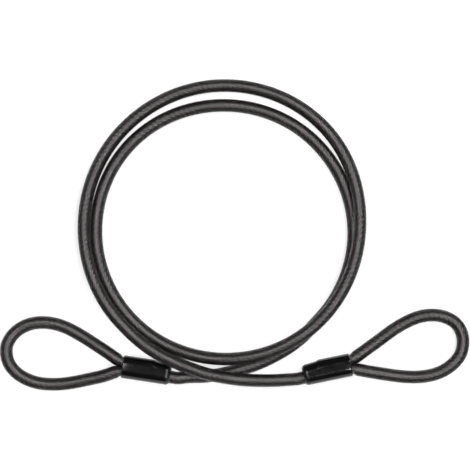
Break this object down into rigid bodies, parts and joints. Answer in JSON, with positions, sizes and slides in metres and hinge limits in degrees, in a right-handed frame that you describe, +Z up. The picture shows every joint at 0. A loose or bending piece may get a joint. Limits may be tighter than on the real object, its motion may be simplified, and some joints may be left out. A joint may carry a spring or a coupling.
{
  "type": "double loop security cable",
  "caption": "Vinyl-sheathed steel security cable lying in a two-turn coil, with a crimped eye at each end under a moulded black cover.",
  "frame": {"origin": "middle of the bounding box, on the floor that the cable lies on", "axes": "+X from the left eye to the right eye, +Y from the eyes to the far side of the coil, +Z up from the floor"},
  "size_m": [0.3694, 0.245, 0.0199],
  "materials": {
    "steel_rope": "stranded, bare",
    "smoked_vinyl": "smooth smoked vinyl, satin",
    "pressed_aluminium": "pressed, satin",
    "moulded_cover": "moulded, semi-gloss black"
  },
  "bodies": {
    "root": {"wire_rope": "steel_rope", "coil_sheath": "smoked_vinyl", "left_eye_sheath": "smoked_vinyl", "right_eye_sheath": "smoked_vinyl", "left_ferrule": "pressed_aluminium", "right_ferrule": "pressed_aluminium", "left_cover": "moulded_cover", "right_cover": "moulded_cover"}
  },
  "joints": []
}
